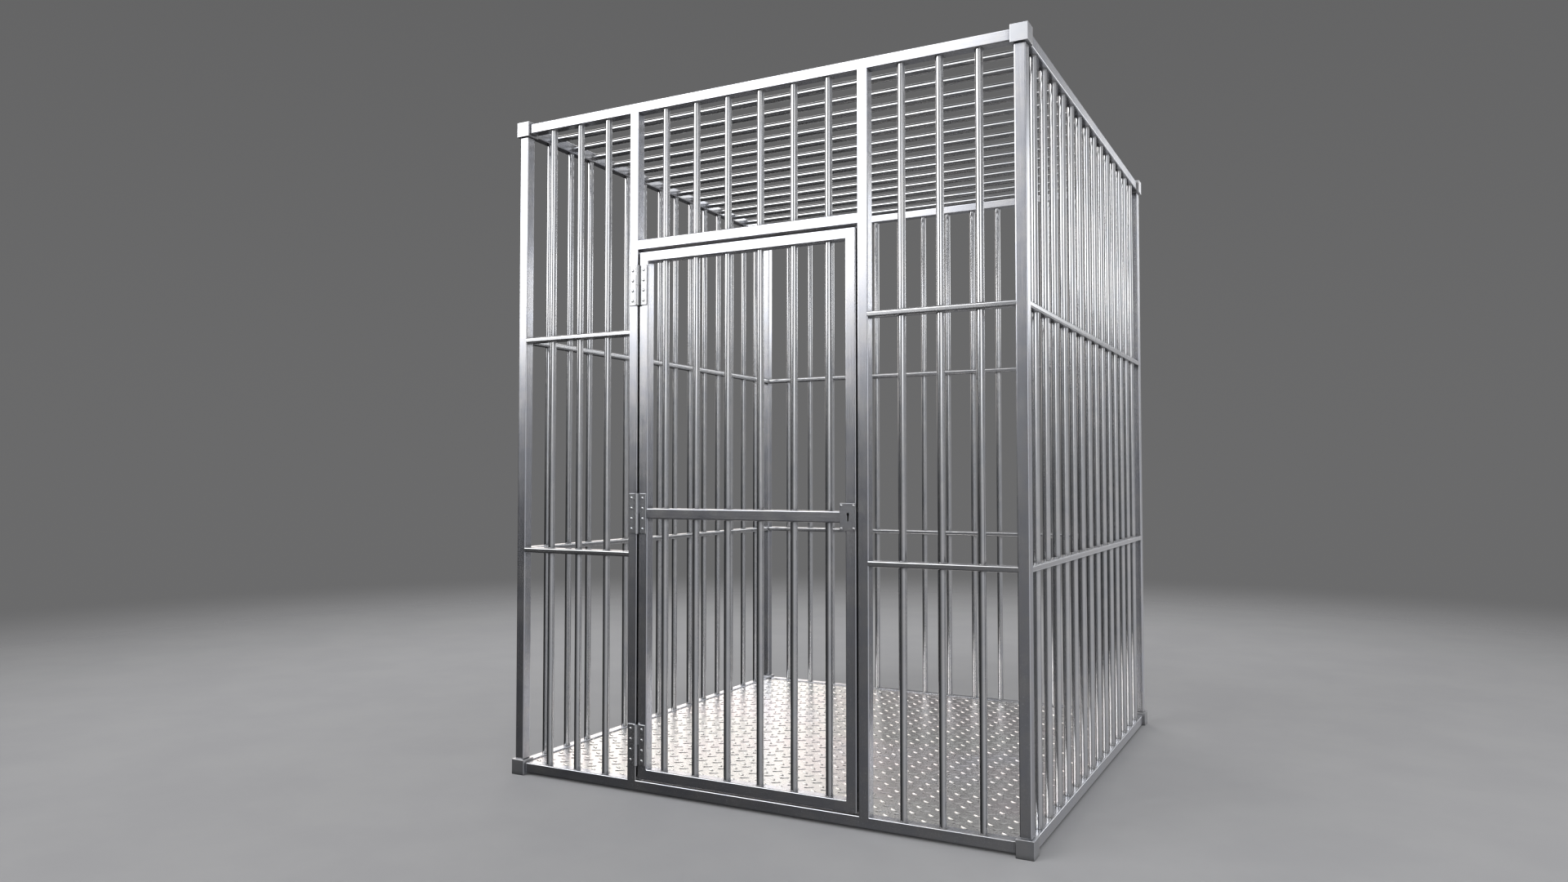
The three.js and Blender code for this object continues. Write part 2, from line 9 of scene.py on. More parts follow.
import bmesh
import bpy
import numpy as np
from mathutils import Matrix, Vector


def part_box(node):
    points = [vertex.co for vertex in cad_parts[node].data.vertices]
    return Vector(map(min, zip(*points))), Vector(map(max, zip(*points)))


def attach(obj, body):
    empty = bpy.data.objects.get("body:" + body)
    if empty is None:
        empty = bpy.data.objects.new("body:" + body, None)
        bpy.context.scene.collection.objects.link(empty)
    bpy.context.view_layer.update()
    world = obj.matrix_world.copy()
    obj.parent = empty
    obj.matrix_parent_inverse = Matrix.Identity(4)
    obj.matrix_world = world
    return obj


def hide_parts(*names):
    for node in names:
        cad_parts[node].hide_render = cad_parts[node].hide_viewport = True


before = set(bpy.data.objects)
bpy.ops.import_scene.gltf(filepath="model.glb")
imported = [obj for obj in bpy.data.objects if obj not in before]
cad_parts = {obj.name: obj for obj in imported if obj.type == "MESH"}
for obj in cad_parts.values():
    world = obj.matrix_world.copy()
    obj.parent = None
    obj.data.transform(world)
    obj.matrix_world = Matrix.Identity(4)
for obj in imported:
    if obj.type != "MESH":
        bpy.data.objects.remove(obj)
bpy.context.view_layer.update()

MM = 0.001
SCENE = bpy.context.scene
LINK = SCENE.collection.objects.link

# ------------------------------------------------------------------ shared sizes, mm
TUBE, WALL, TUBE_R = 38.0, 2.5, 3.5      # square tube: width, wall, corner radius
INNER_R = 1.0                            # corner radius inside the tube
BAR_R = 12.5
MID_H, MID_D, MID_R = 20.0, 38.0, 5.0    # thin mid rail: height, depth, corner radius
BLOCK = 57.0                             # side of a corner fitting
RUN_IN = TUBE_R                          # a flush-welded end runs into its neighbour's rounded edge
# weld fillet round a bar: distance from the face, growth of the radius
FILLET = ((2.0, 0.0), (1.1, 0.2), (0.55, 0.55), (0.15, 1.0), (-0.3, 1.45))


def box_mm(node):
    low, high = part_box(node)
    return np.array(low) / MM, np.array(high) / MM


def centre_mm(node):
    low, high = box_mm(node)
    return (low + high) / 2


def cos_deg(angle):
    return math.cos(math.radians(angle))


def sin_deg(angle):
    return math.sin(math.radians(angle))


# ------------------------------------------------------------------ node trees
class Tree:
    """A short way of writing node trees."""

    def __init__(self, owner):
        owner.use_nodes = True
        self.tree = owner.node_tree
        self.tree.nodes.clear()

    def node(self, kind, **props):
        new = self.tree.nodes.new(kind)
        for key, value in props.items():
            setattr(new, key, value)
        return new

    def put(self, socket, value):
        if isinstance(value, bpy.types.NodeSocket):
            self.tree.links.new(value, socket)
        else:
            socket.default_value = value

    def fill(self, node, values):
        for socket, value in zip(node.inputs, values):
            self.put(socket, value)
        return node.outputs[0]

    def math(self, operation, first, second=0.0, third=0.0):
        return self.fill(self.node("ShaderNodeMath", operation=operation), (first, second, third))

    def plus(self, base, value, share):
        return self.math("ADD", base, self.math("MULTIPLY", value, share))

    def less(self, base, value, share):
        return self.math("SUBTRACT", base, self.math("MULTIPLY", value, share))

    def vary(self, base, *parts):
        """base plus (texture, amount) parts, each centred on 0."""
        for value, amount in parts:
            base = self.math("ADD", base, self.math("MULTIPLY_ADD", value, amount, -0.5 * amount))
        return base

    def keep(self, value, low, high):
        return self.math("MAXIMUM", self.math("MINIMUM", value, high), low)

    def span(self, value, start, stop, low=0.0, high=1.0, kind="SMOOTHSTEP"):
        """low up to start, high beyond stop."""
        node = self.node("ShaderNodeMapRange", interpolation_type=kind, clamp=True)
        return self.fill(node, (value, start, stop, low, high))

    def vector(self, operation, first, second):
        return self.fill(self.node("ShaderNodeVectorMath", operation=operation), (first, second))

    def scaled(self, vector, scale):
        return self.vector("MULTIPLY", vector, scale)

    def noise(self, vector, detail, rough, scale=1.0):
        node = self.node("ShaderNodeTexNoise")
        self.put(node.inputs["Vector"], vector)
        node.inputs["Scale"].default_value = scale
        node.inputs["Detail"].default_value = detail
        node.inputs["Roughness"].default_value = rough
        return node.outputs[0]

    def mix(self, factor, first, second):
        node = self.node("ShaderNodeMix", data_type="RGBA")
        self.put(node.inputs[0], factor)
        self.put(node.inputs[6], first)
        self.put(node.inputs[7], second)
        return node.outputs[2]

    def mix_shader(self, factor, first, second):
        return self.fill(self.node("ShaderNodeMixShader"), (factor, first, second))

    def painted_shade(self, reach, low):
        """Painted shade from ambient occlusion: 1 in the open, low far into a gap or a corner."""
        node = self.node("ShaderNodeAmbientOcclusion", samples=3)
        node.inputs["Distance"].default_value = reach
        return self.span(node.outputs["AO"], start=0.15, stop=0.92, low=low, kind="LINEAR")

    def tint(self, colour, value):
        """colour times a number"""
        node = self.node("ShaderNodeVectorMath", operation="SCALE")
        self.put(node.inputs[0], colour)
        self.put(node.inputs["Scale"], value)
        return node.outputs[0]

    def object_place(self):
        return self.node("ShaderNodeTexCoord").outputs["Object"]

    def split(self, vector):
        node = self.node("ShaderNodeSeparateXYZ")
        self.put(node.inputs[0], vector)
        return node.outputs

    def metal(self, colour, roughness, height, strength, distance):
        """Metal surface with a relief, joined to the output."""
        bump = self.node("ShaderNodeBump")
        bump.inputs["Strength"].default_value = strength
        bump.inputs["Distance"].default_value = distance
        self.put(bump.inputs["Height"], height)
        surface = self.node("ShaderNodeBsdfPrincipled")
        surface.inputs["Metallic"].default_value = 1.0
        self.put(surface.inputs["Base Color"], colour)
        self.put(surface.inputs["Roughness"], roughness)
        self.put(surface.inputs["Normal"], bump.outputs[0])
        self.finish("ShaderNodeOutputMaterial", surface.outputs[0])

    def finish(self, kind, shader):
        self.put(self.node(kind).inputs["Surface"], shader)


def viewport_look(material, colour, rough):
    material.diffuse_color = colour + (1,)
    material.metallic, material.roughness = 1.0, rough


# ------------------------------------------------------------------ steels
# grain textures hair, fine and band: frequency along and across the brushing
BRUSHED = ((26, 1500), (5, 330), (1.1, 62))
# the same three for linished steel: frequency on x, y and z
LINISHED = ((1500, 1500, 1500), (260, 420, 260), (40, 40, 40))
WELD_RIPPLE = (310, 310, 520)
WELD_STRAW = (0.30, 0.285, 0.265, 1)


def steel(name, axis, cool, warm, rough, streak, bump=1.0, weld=False, painted_shade_low=0.12):
    """Steel brushed along one axis; axis None gives an even, linished surface.

    cool and warm are the two hues, streak the weight of the grain, and the last argument the lowest tone
    of the painted shade that darkens crevices.
    """
    material = bpy.data.materials.new(name)
    tree = Tree(material)
    place_in = tree.object_place()
    scales = LINISHED
    if axis:
        scales = [tuple(along if a == axis else across for a in "xyz") for along, across in BRUSHED]
    hair = tree.noise(tree.scaled(place_in, scales[0]), detail=2, rough=0.6)
    fine = tree.noise(tree.scaled(place_in, scales[1]), detail=3, rough=0.6)
    band = tree.noise(tree.scaled(place_in, scales[2]), detail=2, rough=0.5)
    patch = tree.noise(place_in, detail=4, rough=0.55, scale=2.6)
    smudge = tree.noise(place_in, detail=4, rough=0.65, scale=11.0)
    pit = tree.noise(place_in, detail=1, rough=0.5, scale=900.0)
    edge = tree.node("ShaderNodeAttribute", attribute_name="edge").outputs["Fac"]
    own = tree.node("ShaderNodeObjectInfo").outputs["Random"]
    pits = tree.span(pit, start=0.70, stop=0.80)

    # tone: how much each texture changes the brightness
    tone = tree.vary(1.0, (fine, 0.10 * streak), (band, 0.10 * streak), (patch, 0.10),
                     (hair, 0.09 * streak), (own, 0.05))
    tone = tree.less(tone, pits, share=0.12)
    tone = tree.plus(tone, edge, share=0.12)
    colour = tree.mix(tree.span(smudge, start=0.35, stop=0.68), cool + (1,), warm + (1,))
    if weld:
        ring = tree.noise(tree.scaled(place_in, WELD_RIPPLE), detail=2, rough=0.5)
        colour = tree.mix(tree.span(ring, start=0.42, stop=0.66), colour, WELD_STRAW)
        tone = tree.math("MULTIPLY", tone, tree.span(ring, start=0.3, stop=0.7, low=0.68))
    # painted shade: the colour is darkened in gaps and corners by ambient occlusion
    painted_shade = tree.painted_shade(reach=0.018, low=painted_shade_low)
    colour = tree.tint(colour, tree.math("MULTIPLY", tone, painted_shade))

    # roughness: grain, hand marks, pits, polished edges
    roughness = tree.vary(rough, (fine, 0.09 * streak), (patch, 0.07), (smudge, 0.08))
    roughness = tree.plus(roughness, pits, share=0.10)
    roughness = tree.less(roughness, edge, share=0.04)
    roughness = tree.keep(roughness, low=0.10, high=0.62)

    # relief of the grain
    height = tree.plus(tree.math("MULTIPLY", hair, 0.5), fine, share=1.0)
    height = tree.less(height, pits, share=0.12)
    if weld:
        height = tree.plus(height, ring, share=6.0)
    tree.metal(colour, roughness, height, strength=0.22 * bump, distance=0.00004)
    viewport_look(material, cool, rough)
    return material


frame_steel = {
    a: steel("frame_steel_" + a, a, cool=(0.592, 0.604, 0.645), warm=(0.636, 0.634, 0.642),
             rough=0.22, streak=0.9, bump=0.55)
    for a in "xyz"}
bar_steel = {
    a: steel("bar_steel_" + a, a, cool=(0.60, 0.61, 0.625), warm=(0.66, 0.658, 0.655),
             rough=0.14, streak=0.5, bump=0.4)
    for a in "xyz"}
rail_steel = {
    a: steel("mid_rail_steel_" + a, a, cool=(0.61, 0.618, 0.632), warm=(0.65, 0.648, 0.648),
             rough=0.18, streak=0.6, bump=0.5)
    for a in "xy"}
weld_steel = steel("weld_steel", None, cool=(0.38, 0.385, 0.395), warm=(0.44, 0.43, 0.42),
                   rough=0.36, streak=0.6, weld=True)
cast_steel = steel("cast_fitting_steel", None, cool=(0.590, 0.602, 0.625),
                   warm=(0.63, 0.628, 0.63), rough=0.30, streak=0.5, bump=0.8)
# hinge, rivets and lock keep more of their tone in the painted shade of their crevices
hinge_steel = steel("hinge_steel", None, cool=(0.57, 0.58, 0.60), warm=(0.61, 0.61, 0.61),
                    rough=0.25, streak=0.7, bump=0.6, painted_shade_low=0.45)
rivet_steel = steel("rivet_steel", None, cool=(0.68, 0.69, 0.705), warm=(0.74, 0.735, 0.73),
                    rough=0.17, streak=0.4, bump=0.4, painted_shade_low=0.6)
lock_steel = steel("lock_steel", None, cool=(0.55, 0.56, 0.585), warm=(0.60, 0.60, 0.605),
                   rough=0.25, streak=0.7, bump=0.6, painted_shade_low=0.45)
inner_steel = steel("mechanism_steel", "x", cool=(0.50, 0.50, 0.50), warm=(0.58, 0.57, 0.55),
                    rough=0.34, streak=0.8)

TREAD_GREY = (0.695, 0.690, 0.662, 1)
TREAD_ROSE = (0.740, 0.692, 0.685, 1)
TREAD_BLUE = (0.690, 0.680, 0.700, 1)


def tread_material(top):
    """Rolled tread plate: bright, finely mottled between the lugs, with scuffed lug tops."""
    material = bpy.data.materials.new("tread_plate_steel")
    tree = Tree(material)
    place_in = tree.object_place()
    roll = tree.noise(tree.scaled(place_in, (9, 420, 420)), detail=3, rough=0.6)
    mottle = tree.noise(place_in, detail=4, rough=0.65, scale=95.0)
    patch = tree.noise(place_in, detail=5, rough=0.6, scale=2.4)
    cloud = tree.noise(tree.scaled(place_in, (1.3, 1.9, 1)), detail=3, rough=0.55)
    scratch_x = tree.noise(tree.scaled(place_in, (16, 900, 900)), detail=1, rough=0.5)
    scratch_y = tree.noise(tree.scaled(place_in, (700, 22, 700)), detail=1, rough=0.5)
    lines = tree.plus(tree.span(scratch_x, start=0.68, stop=0.76),
                      tree.span(scratch_y, start=0.70, stop=0.78), share=0.7)
    z = tree.split(place_in)[2]
    lug = tree.span(z, start=top + 0.0005, stop=top + 0.0015)

    # tone and roughness: how much each texture changes them
    tone = tree.vary(1.0, (roll, 0.14), (mottle, 0.10), (patch, 0.16))
    tone = tree.less(tone, lines, share=0.08)
    tone = tree.plus(tone, lug, share=0.10)
    colour = tree.mix(tree.span(cloud, start=0.38, stop=0.64), TREAD_GREY, TREAD_ROSE)
    colour = tree.mix(tree.span(patch, start=0.52, stop=0.72), colour, TREAD_BLUE)
    colour = tree.tint(colour, tone)
    # painted shade: the colour darkens round the lug feet and near other parts, from ambient occlusion
    colour = tree.tint(colour, tree.painted_shade(reach=0.007, low=0.35))
    roughness = tree.vary(0.26, (mottle, 0.09), (patch, 0.12))
    roughness = tree.plus(roughness, lines, share=0.10)
    roughness = tree.less(roughness, lug, share=0.07)
    roughness = tree.keep(roughness, low=0.14, high=0.6)
    height = tree.plus(tree.math("MULTIPLY", mottle, 1.3), roll, share=0.5)
    height = tree.less(height, lines, share=0.6)
    tree.metal(colour, roughness, height, strength=0.3, distance=0.0001)
    viewport_look(material, colour=(0.71, 0.69, 0.68), rough=0.29)
    return material


# ------------------------------------------------------------------ shells
# A shell is (points in mm, faces, material slot or one slot per face, edge weights or None).
def loft(rings, loop=False, slot=0, edge=None):
    """Skin over rings of equal counts, which run anticlockwise about their direction of travel."""
    count, size = len(rings), len(rings[0])
    faces = []
    for i in range(count if loop else count - 1):
        here, there = i * size, (i + 1) % count * size
        for j in range(size):
            k = (j + 1) % size
            faces.append((here + j, here + k, there + k, there + j))
    if not loop:
        faces.append(tuple(range(size - 1, -1, -1)))
        faces.append(tuple((count - 1) * size + j for j in range(size)))
    return np.concatenate(rings), faces, slot, edge


def place(axis, shape, along, centre):
    """Points of a flat outline at a place along an axis through centre."""
    first, second = shape[:, 0], shape[:, 1]
    level = np.full(len(shape), float(along))
    if axis == "z":
        return np.stack([centre[0] + first, centre[1] + second, level], 1)
    if axis == "x":
        return np.stack([level, centre[1] + first, centre[2] + second], 1)
    return np.stack([centre[0] + second, level, centre[2] + first], 1)


def prism(axis, shape, ends, centre, **looks):
    return loft([place(axis, shape, along, centre) for along in ends], **looks)


def outline(width, height, radius, steps=5, margin=1.6):
    """Rounded rectangle, anticlockwise, and its edge weights.

    Each flat has a point a margin away from every corner.
    """
    points, edge = [], []
    for x, y, start in ((1, 1, 0), (-1, 1, 90), (-1, -1, 180), (1, -1, 270)):
        middle = np.array([x * (width / 2 - radius), y * (height / 2 - radius)])
        arc = []
        for i in range(steps + 1):
            angle = start + 90 * i / steps
            arc.append(middle + radius * np.array([cos_deg(angle), sin_deg(angle)]))
        stop = start + 90
        points.append(arc[0] - margin * np.array([-sin_deg(start), cos_deg(start)]))
        points += arc
        points.append(arc[-1] + margin * np.array([-sin_deg(stop), cos_deg(stop)]))
        edge += [0.0, 0.4] + [1.0] * (steps - 1) + [0.4, 0.0]
    return np.array(points), edge


def circle(radius, count):
    angle = 2 * np.pi * (np.arange(count) + 0.5) / count
    return np.stack([radius * np.cos(angle), radius * np.sin(angle)], 1)


def turned(axis, profile, centre, count=28, **looks):
    """Round solid through a profile of (place along the axis, radius)."""
    rings = [place(axis, circle(radius, count), along, centre) for along, radius in profile]
    return loft(rings, **looks)


def flipped(shell):
    return (shell[0], [tuple(reversed(face)) for face in shell[1]]) + shell[2:]


def outward(shell):
    """The same closed shell with its faces pointing out."""
    points = shell[0]
    volume = 0.0
    for face in shell[1]:
        for i in range(1, len(face) - 1):
            normal = np.cross(points[face[i]], points[face[i + 1]])
            volume += float(np.dot(points[face[0]], normal))
    return flipped(shell) if volume < 0 else shell


def tube_shell(axis, start, stop, centre, chamfer=0.8):
    """Hollow square tube with a small chamfer at both ends, 0 where it is welded flush."""
    outer, edge = outline(TUBE, TUBE, TUBE_R)
    inner, _ = outline(TUBE - 2 * WALL, TUBE - 2 * WALL, INNER_R, margin=0.6)
    rings = [(outer, start + chamfer, edge), (outer, stop - chamfer, edge)]
    if chamfer:
        small, _ = outline(TUBE - 2 * chamfer, TUBE - 2 * chamfer, TUBE_R)
        worn = [1.0] * len(edge)
        rings = [(small, start, worn)] + rings + [(small, stop, worn)]
    rings += [(inner, along, [0.0] * len(edge)) for along in (stop, start)]
    weights = [weight for ring in rings for weight in ring[2]]
    skins = [place(axis, shape, along, centre) for shape, along, _ in rings]
    return loft(skins, loop=True, edge=weights)


def bar_shell(axis, start, stop, centre, crossings=(), slot=0):
    """Round bar with a weld fillet at both ends and on both sides of each rail it passes through.

    The welds take the material slot after the bar's own.
    """
    rising = [(distance, BAR_R + growth) for distance, growth in FILLET]
    falling = rising[::-1]
    profile = [(start + distance, radius) for distance, radius in falling]
    for low, high in crossings:
        profile += [(low - distance, radius) for distance, radius in rising]
        profile += [(low + 1.6, BAR_R), (high - 1.6, BAR_R)]
        profile += [(high + distance, radius) for distance, radius in falling]
    profile += [(stop - distance, radius) for distance, radius in rising]
    count = 28
    slots = []
    for (_, here), (_, there) in zip(profile, profile[1:]):
        slots += [slot + 1 if max(here, there) > BAR_R + 0.2 else slot] * count
    return turned(axis, profile, centre, count, slot=slots + [slot + 1] * 2)


def rail_shell(axis, start, stop, centre):
    """Thin mid rail, wide across the wall, with well rounded edges."""
    size = (MID_D, MID_H) if axis == "x" else (MID_H, MID_D)
    shape, edge = outline(*size, MID_R, steps=6, margin=1.2)
    return prism(axis, shape, (start, stop), centre, edge=[weight * 0.7 for weight in edge] * 2)


def plate_shell(x0, x1, z0, z1, y_front, y_back, radius, bevel):
    """Upright plate seen from -Y, with rounded corners and a bevelled front, facing out."""
    centre = ((x0 + x1) / 2, 0, (z0 + z1) / 2)
    rings, edge = [], []
    for k in range(4):
        angle = math.radians(30 * k)
        inset = bevel * (1 - math.sin(angle))
        shape, _ = outline(z1 - z0 - 2 * inset, x1 - x0 - 2 * inset, max(radius - inset, 0.2),
                           steps=4, margin=0.8)
        rings.append(place("y", shape, y_front + bevel * (1 - math.cos(angle)), centre))
        edge += [1.0 if k in (1, 2) else 0.5] * len(shape)
    rings.append(place("y", shape, y_back, centre))
    return outward(loft(rings, edge=edge + [0.0] * len(shape)))


def rivet_shell(x, z, y, radius=5.2):
    """Domed head on a face at y, standing towards -Y, in the second material slot."""
    height, rim = 2.7, 0.25
    profile = [(y + 0.3, radius * 0.97), (y - rim, radius)]
    for angle in (14, 30, 46, 62, 78):
        rise = -rim - (height - rim) * sin_deg(angle)
        profile.append((y + rise, radius * cos_deg(angle)))
    return outward(turned("y", profile, (x, 0, z), count=20, slot=1))


# ------------------------------------------------------------------ objects
def make(name, shells, materials, polished=True):
    """One object from shells. Parts that are still to be cut are left unpolished."""
    points, faces, slots, weights, first = [], [], [], [], 0
    for shell_points, shell_faces, slot, edge in shells:
        points.append(shell_points)
        faces += [tuple(i + first for i in face) for face in shell_faces]
        slots += slot if isinstance(slot, list) else [slot] * len(shell_faces)
        weights += edge or [0.0] * len(shell_points)
        first += len(shell_points)
    mesh = bpy.data.meshes.new(name)
    mesh.from_pydata([tuple(point) for point in np.concatenate(points) * MM], [], faces)
    for material in materials:
        mesh.materials.append(material)
    mesh.polygons.foreach_set("material_index", np.array(slots, np.int32))
    attribute = mesh.attributes.new("edge", "FLOAT", "POINT")
    attribute.data.foreach_set("value", np.array(weights, np.float32))
    mesh.update()
    obj = bpy.data.objects.new(name, mesh)
    LINK(obj)
    if polished:
        polish(obj)
    return obj


def polish(obj, sharp=38):
    """Smooth shading that keeps true edges, with flats kept flat."""
    mesh = obj.data
    mesh.polygons.foreach_set("use_smooth", np.ones(len(mesh.polygons), bool))
    mesh.set_sharp_from_angle(angle=math.radians(sharp))
    normals = obj.modifiers.new("flat_faces", "WEIGHTED_NORMAL")
    normals.mode, normals.weight, normals.keep_sharp = "FACE_AREA", 60, True


def cut(obj, operation, name, shells, sharp=38):
    """obj joined, cut or kept by a tool made of shells, as one clean closed mesh."""
    tool = make(name, shells, obj.data.materials[:], polished=False)
    obj.modifiers.clear()
    boolean = obj.modifiers.new("cut", "BOOLEAN")
    boolean.operation, boolean.solver, boolean.object = operation, "MANIFOLD", tool
    bpy.context.view_layer.update()
    graph = bpy.context.evaluated_depsgraph_get()
    mesh = bpy.data.meshes.new_from_object(obj.evaluated_get(graph),
                                           preserve_all_data_layers=True, depsgraph=graph)
    mesh.name = obj.data.name
    obj.modifiers.clear()
    old, obj.data = obj.data, mesh
    bpy.data.meshes.remove(old)
    bpy.data.objects.remove(tool)
    edit = bmesh.new()
    edit.from_mesh(mesh)
    bmesh.ops.dissolve_degenerate(edit, edges=edit.edges[:], dist=1e-7)
    edit.to_mesh(mesh)
    edit.free()
    polish(obj, sharp)


def piece(obj, body, slot, *nodes):
    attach(obj, body)
    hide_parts(*nodes)


# ------------------------------------------------------------------ layout, mm
FRONT_LOW, FRONT_HIGH = box_mm("bottom_rail_front")
FRONT_FACE = FRONT_LOW[1]
RAIL_TOP = FRONT_HIGH[2]
ROOF_UNDER = box_mm("top_rail_front")[0][2]
FRONT_Y = centre_mm("bottom_rail_front")[1]
BACK_Y = centre_mm("bottom_rail_back")[1]
LEFT_X = centre_mm("bottom_rail_left")[0]
RIGHT_X = centre_mm("bottom_rail_right")[0]
# inner faces of the frame
IN_LEFT, IN_RIGHT = LEFT_X + TUBE / 2, RIGHT_X - TUBE / 2
IN_FRONT, IN_BACK = FRONT_Y + TUBE / 2, BACK_Y - TUBE / 2
MID_ZS = [RAIL_TOP + (ROOF_UNDER - RAIL_TOP) * k / 3 for k in (1, 2)]
CROSSINGS = [(z - MID_H / 2, z + MID_H / 2) for z in MID_ZS]
ROOF_NODES = [f"roof_bar_{i:02d}" for i in range(1, 15)]
BAR_YS = [float(centre_mm(node)[1]) for node in ROOF_NODES]
BAR_XS = [y - (BAR_YS[0] + BAR_YS[-1]) / 2 for y in BAR_YS]
DOOR_BAR_XS = BAR_XS[4:10]

OPEN_X0 = box_mm("door_post_hinge_side")[1][0]     # doorway between its posts
OPEN_X1 = box_mm("door_post_lock_side")[0][0]
DOOR_X0 = box_mm("door_stile_hinge_side")[0][0]
DOOR_X1 = box_mm("door_stile_lock_side")[1][0]
DOOR_Z0 = box_mm("door_rail_bottom")[0][2]
DOOR_Z1 = box_mm("door_rail_top")[1][2]

BOLT_LOW, BOLT_HIGH = box_mm("lock_bolt")
BOLT_D, BOLT_H = (BOLT_HIGH - BOLT_LOW)[1:]
BOLT_CENTRE = (0, *centre_mm("lock_bolt")[1:])

# ------------------------------------------------------------------ corner fittings
SPIGOT, SPIGOT_BORE = 32.4, 24.0
SPIGOT_SINK, SPIGOT_REACH = 1.5, 40


def corner_fitting(node, signs):
    """Cube with softened edges and three hollow square spigots that enter the tubes."""
    low, high = box_mm(node)
    centre = np.array([(high if sign > 0 else low)[k] - sign * BLOCK / 2
                       for k, sign in enumerate(signs)])
    edit = bmesh.new()
    bmesh.ops.create_cube(edit, size=BLOCK * MM)
    bmesh.ops.bevel(edit, geom=edit.edges[:], offset=1.9 * MM, segments=3, profile=0.62,
                    affect="EDGES")
    mesh = bpy.data.meshes.new(node.replace("corner_", ""))
    edit.to_mesh(mesh)
    edit.free()
    points = np.empty(len(mesh.vertices) * 3, np.float32)
    mesh.vertices.foreach_get("co", points)
    points = points.reshape(-1, 3) + (centre * MM).astype(np.float32)
    mesh.vertices.foreach_set("co", points.ravel())
    mesh.materials.append(cast_steel)
    obj = bpy.data.objects.new(mesh.name, mesh)
    LINK(obj)
    outer, _ = outline(SPIGOT, SPIGOT, 1.5, steps=3, margin=1.0)
    inner, _ = outline(SPIGOT_BORE, SPIGOT_BORE, 2.0, steps=3, margin=1.0)
    spigots = []
    for k, axis in enumerate("xyz"):
        inwards = -signs[k]
        start, stop = sorted((centre[k] + inwards * (BLOCK / 2 - SPIGOT_SINK),
                              centre[k] + inwards * (BLOCK / 2 + SPIGOT_REACH)))
        rings = ((outer, start), (outer, stop), (inner, stop), (inner, start))
        skins = [place(axis, shape, along, centre) for shape, along in rings]
        spigots.append(loft(skins, loop=True))
    cut(obj, "UNION", "spigots", spigots, sharp=40)
    piece(obj, "frame", "frame_steel", node)


for level, z_sign in (("bottom", -1), ("top", 1)):
    for depth, y_sign in (("front", -1), ("back", 1)):
        for side, x_sign in (("left", -1), ("right", 1)):
            corner_fitting(f"corner_fitting_{level}_{depth}_{side}", (x_sign, y_sign, z_sign))

# ------------------------------------------------------------------ frame tubes
for depth, y in (("front", FRONT_Y), ("back", BACK_Y)):
    for side, x in (("left", LEFT_X), ("right", RIGHT_X)):
        node = f"corner_post_{depth}_{side}"
        low, high = box_mm(node)
        post = make(f"post_{depth}_{side}", [tube_shell("z", low[2], high[2], (x, y, 0))],
                    [frame_steel["z"]])
        piece(post, "frame", "frame_steel", node)
for level in ("bottom", "top"):
    for side, axis in (("front", "x"), ("back", "x"), ("left", "y"), ("right", "y")):
        node = f"{level}_rail_{side}"
        low, high = box_mm(node)
        k = "xyz".index(axis)
        rail = make(f"rail_{level}_{side}", [tube_shell(axis, low[k], high[k], (low + high) / 2)],
                    [frame_steel[axis]])
        piece(rail, "frame", "frame_steel", node)


# ------------------------------------------------------------------ door posts and header
def door_post(side, polished):
    """Tube welded flush between the bottom and top front rails."""
    centre = (centre_mm(f"door_post_{side}")[0], FRONT_Y, 0)
    shell = tube_shell("z", RAIL_TOP - RUN_IN, ROOF_UNDER + RUN_IN, centre, chamfer=0)
    return make(f"doorpost_{side}", [shell], [frame_steel["z"]], polished)


piece(door_post("hinge_side", polished=True), "frame", "frame_steel", "door_post_hinge_side")

post = door_post("lock_side", polished=False)
strike, _ = outline(BOLT_D + 2, BOLT_H + 3, 1.6, steps=4, margin=0.5)
cut(post, "DIFFERENCE", "strike",
    [prism("x", strike, (OPEN_X1 - 3, OPEN_X1 + WALL + 2), BOLT_CENTRE)])
piece(post, "frame", "frame_steel", "door_post_lock_side")

HEADER_NODE = "door_header_with_transom_bars"
HEADER_Z = box_mm(HEADER_NODE)[0][2] + TUBE / 2
header = make("door_header",
              [tube_shell("x", OPEN_X0 - RUN_IN, OPEN_X1 + RUN_IN, (0, FRONT_Y, HEADER_Z),
                          chamfer=0)],
              [frame_steel["x"], bar_steel["z"], weld_steel], polished=False)
cut(header, "UNION", "transom",
    [bar_shell("z", HEADER_Z + TUBE / 2, ROOF_UNDER, (x, FRONT_Y, 0), slot=1)
     for x in DOOR_BAR_XS])
piece(header, "frame", "frame_steel", HEADER_NODE)


# ------------------------------------------------------------------ walls
def wall(name, node, axis, bars, start, stop):
    """Upright bars at (x, y) through two thin rails from start to stop, welded up as one panel."""
    rails = [rail_shell(axis, start, stop, (*bars[0], z)) for z in MID_ZS]
    panel = make(name, rails, [rail_steel[axis], bar_steel["z"], weld_steel], polished=False)
    cut(panel, "UNION", name + "_bars",
        [bar_shell("z", RAIL_TOP, ROOF_UNDER, (x, y, 0), CROSSINGS, slot=1) for x, y in bars])
    piece(panel, "frame", "bar_steel", node)


HINGE_POST_X = centre_mm("door_post_hinge_side")[0]
LOCK_POST_X = centre_mm("door_post_lock_side")[0]
wall("wall_front_left", "grille_front_left", "x", [(x, FRONT_Y) for x in BAR_XS[:3]],
     IN_LEFT - RUN_IN, HINGE_POST_X - TUBE / 2 + RUN_IN)
wall("wall_front_right", "grille_front_right", "x", [(x, FRONT_Y) for x in BAR_XS[11:]],
     LOCK_POST_X + TUBE / 2 - RUN_IN, IN_RIGHT + RUN_IN)
for side, x in (("left", LEFT_X), ("right", RIGHT_X)):
    wall(f"wall_{side}", f"grille_{side}_side", "y", [(x, y) for y in BAR_YS],
         IN_FRONT - RUN_IN, IN_BACK + RUN_IN)
wall("wall_back", "grille_back", "x", [(x, BACK_Y) for x in BAR_XS],
     IN_LEFT - RUN_IN, IN_RIGHT + RUN_IN)

